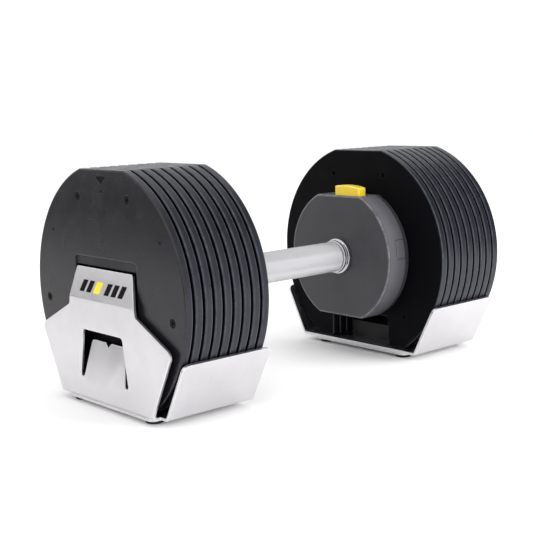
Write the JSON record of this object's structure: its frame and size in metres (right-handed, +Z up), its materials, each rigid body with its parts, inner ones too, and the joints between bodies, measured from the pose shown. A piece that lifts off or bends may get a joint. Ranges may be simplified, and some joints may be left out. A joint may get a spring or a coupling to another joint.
{
  "type": "adjustable dumbbell",
  "caption": "Adjustable dumbbell with stacked plates at each end, a knurled twist grip that slides selector bars, release buttons and two bent-sheet cradles.",
  "frame": {"origin": "on the table midway between the two cradles, under the middle of the grip", "axes": "+X along the handle, +Y across it, +Z up"},
  "size_m": [0.3792, 0.204, 0.1918],
  "materials": {
    "plate_coat": "satin black coating",
    "end_cover_plastic": "satin black",
    "cradle_sheet": "satin",
    "foot_sheet": "satin",
    "foot_rubber": "matte",
    "screw_steel": "plain",
    "dark_screw": "black oxide",
    "rail_plastic": "matte",
    "label_film": "satin film",
    "housing_plastic": "satin dark grey",
    "cover_plastic": "matte",
    "bush_brass": "plain",
    "gear_steel": "machined",
    "bar_steel": "machined",
    "collar_chrome": "polished",
    "grip_steel": "knurled, satin chrome",
    "button_plastic": "satin yellow",
    "spring_steel": "plain"
  },
  "bodies": {
    "stand": {"cradle_left": "cradle_sheet", "cradle_right": "cradle_sheet", "foot_plate_left": "foot_sheet", "foot_plate_right": "foot_sheet", "feet_left": "foot_rubber", "feet_right": "foot_rubber", "cradle_screws_left": "screw_steel", "cradle_screws_right": "screw_steel", "divider_rail_left": "rail_plastic", "divider_rail_right": "rail_plastic", "neck_label_left": "label_film", "neck_label_right": "label_film"},
    "handle": {"housing_left": "housing_plastic", "housing_right": "housing_plastic", "rear_cover_left": "cover_plastic", "rear_cover_right": "cover_plastic", "cover_screws_left": "screw_steel", "cover_screws_right": "screw_steel", "rim_plug_left": "housing_plastic", "rim_plug_right": "housing_plastic", "grip_bush_left": "bush_brass", "grip_bush_right": "bush_brass", "pinion_axle_left": "gear_steel", "pinion_axle_right": "gear_steel", "button_spring_left": "spring_steel", "button_spring_right": "spring_steel"},
    "grip": {"grip_tube": "grip_steel", "collar_left": "collar_chrome", "collar_right": "collar_chrome", "crown_wheel_left": "gear_steel", "crown_wheel_right": "gear_steel"},
    "button_left": {"release_button_left": "button_plastic"},
    "button_right": {"release_button_right": "button_plastic"},
    "pinion_left": {"pinion_left": "gear_steel"},
    "selector_left": {"selector_bar_left": "bar_steel"},
    "pinion_right": {"pinion_right": "gear_steel"},
    "selector_right": {"selector_bar_right": "bar_steel"},
    "plate_1_left": {"plate_1_left": "plate_coat"},
    "plate_2_left": {"plate_2_left": "plate_coat"},
    "plate_3_left": {"plate_3_left": "plate_coat"},
    "plate_4_left": {"plate_4_left": "plate_coat"},
    "plate_5_left": {"plate_5_left": "plate_coat"},
    "plate_6_left": {"plate_6_left": "plate_coat"},
    "plate_7_left": {"plate_7_left": "plate_coat"},
    "plate_8_left": {"plate_8_left": "plate_coat"},
    "end_plate_left": {"end_plate_core_left": "plate_coat", "end_plate_cover_left": "end_cover_plastic", "end_plate_screws_left": "dark_screw"},
    "plate_1_right": {"plate_1_right": "plate_coat"},
    "plate_2_right": {"plate_2_right": "plate_coat"},
    "plate_3_right": {"plate_3_right": "plate_coat"},
    "plate_4_right": {"plate_4_right": "plate_coat"},
    "plate_5_right": {"plate_5_right": "plate_coat"},
    "plate_6_right": {"plate_6_right": "plate_coat"},
    "plate_7_right": {"plate_7_right": "plate_coat"},
    "plate_8_right": {"plate_8_right": "plate_coat"},
    "end_plate_right": {"end_plate_core_right": "plate_coat", "end_plate_cover_right": "end_cover_plastic", "end_plate_screws_right": "dark_screw"}
  },
  "joints": [
    {"name": "handle_lift", "type": "slide", "parent": "stand", "child": "handle", "axis": [0, 0, 1], "range_m": [0, 0.25]},
    {"name": "grip_twist", "type": "hinge", "parent": "handle", "child": "grip", "pos_m": [0, 0, 0.0943], "axis": [1, 0, 0], "range_deg": [0, 243.28]},
    {"name": "button_right_press", "type": "slide", "parent": "handle", "child": "button_right", "axis": [0, 0, -1], "range_m": [0, 0.004], "stiffness_N_per_m": 500, "springref_m": -0.003, "deforming": ["button_spring_right"]},
    {"name": "button_left_press", "type": "slide", "parent": "handle", "child": "button_left", "axis": [0, 0, -1], "range_m": [0, 0.004], "stiffness_N_per_m": 500, "springref_m": -0.003, "deforming": ["button_spring_left"]},
    {"name": "selector_right_slide", "type": "slide", "parent": "handle", "child": "selector_right", "axis": [1, 0, 0], "range_m": [0, 0.0829]},
    {"name": "pinion_right_spin", "type": "hinge", "parent": "handle", "child": "pinion_right", "pos_m": [0.0906, 0.0042, 0.0943], "axis": [0, 0, 1], "range_deg": [0, 791]},
    {"name": "selector_left_slide", "type": "slide", "parent": "handle", "child": "selector_left", "axis": [-1, 0, 0], "range_m": [0, 0.0829]},
    {"name": "pinion_left_spin", "type": "hinge", "parent": "handle", "child": "pinion_left", "pos_m": [-0.0906, -0.0042, 0.0943], "axis": [0, 0, 1], "range_deg": [0, 791]},
    {"name": "end_plate_right_lift", "type": "slide", "parent": "stand", "child": "end_plate_right", "axis": [0, 0, 1], "range_m": [0, 0.25]},
    {"name": "plate_8_right_lift", "type": "slide", "parent": "stand", "child": "plate_8_right", "axis": [0, 0, 1], "range_m": [0, 0.25]},
    {"name": "plate_7_right_lift", "type": "slide", "parent": "stand", "child": "plate_7_right", "axis": [0, 0, 1], "range_m": [0, 0.25]},
    {"name": "plate_6_right_lift", "type": "slide", "parent": "stand", "child": "plate_6_right", "axis": [0, 0, 1], "range_m": [0, 0.25]},
    {"name": "plate_5_right_lift", "type": "slide", "parent": "stand", "child": "plate_5_right", "axis": [0, 0, 1], "range_m": [0, 0.25]},
    {"name": "plate_4_right_lift", "type": "slide", "parent": "stand", "child": "plate_4_right", "axis": [0, 0, 1], "range_m": [0, 0.25]},
    {"name": "plate_3_right_lift", "type": "slide", "parent": "stand", "child": "plate_3_right", "axis": [0, 0, 1], "range_m": [0, 0.25]},
    {"name": "plate_2_right_lift", "type": "slide", "parent": "stand", "child": "plate_2_right", "axis": [0, 0, 1], "range_m": [0, 0.25]},
    {"name": "plate_1_right_lift", "type": "slide", "parent": "stand", "child": "plate_1_right", "axis": [0, 0, 1], "range_m": [0, 0.25]},
    {"name": "end_plate_left_lift", "type": "slide", "parent": "stand", "child": "end_plate_left", "axis": [0, 0, 1], "range_m": [0, 0.25]},
    {"name": "plate_8_left_lift", "type": "slide", "parent": "stand", "child": "plate_8_left", "axis": [0, 0, 1], "range_m": [0, 0.25]},
    {"name": "plate_7_left_lift", "type": "slide", "parent": "stand", "child": "plate_7_left", "axis": [0, 0, 1], "range_m": [0, 0.25]},
    {"name": "plate_6_left_lift", "type": "slide", "parent": "stand", "child": "plate_6_left", "axis": [0, 0, 1], "range_m": [0, 0.25]},
    {"name": "plate_5_left_lift", "type": "slide", "parent": "stand", "child": "plate_5_left", "axis": [0, 0, 1], "range_m": [0, 0.25]},
    {"name": "plate_4_left_lift", "type": "slide", "parent": "stand", "child": "plate_4_left", "axis": [0, 0, 1], "range_m": [0, 0.25]},
    {"name": "plate_3_left_lift", "type": "slide", "parent": "stand", "child": "plate_3_left", "axis": [0, 0, 1], "range_m": [0, 0.25]},
    {"name": "plate_2_left_lift", "type": "slide", "parent": "stand", "child": "plate_2_left", "axis": [0, 0, 1], "range_m": [0, 0.25]},
    {"name": "plate_1_left_lift", "type": "slide", "parent": "stand", "child": "plate_1_left", "axis": [0, 0, 1], "range_m": [0, 0.25]}
  ],
  "couplings": [
    {"joint": "pinion_left_spin", "follows": "grip_twist", "ratio": 3.25},
    {"joint": "selector_left_slide", "follows": "grip_twist", "m_per_rad": 0.0195},
    {"joint": "pinion_right_spin", "follows": "grip_twist", "ratio": 3.25},
    {"joint": "selector_right_slide", "follows": "grip_twist", "m_per_rad": 0.0195}
  ]
}
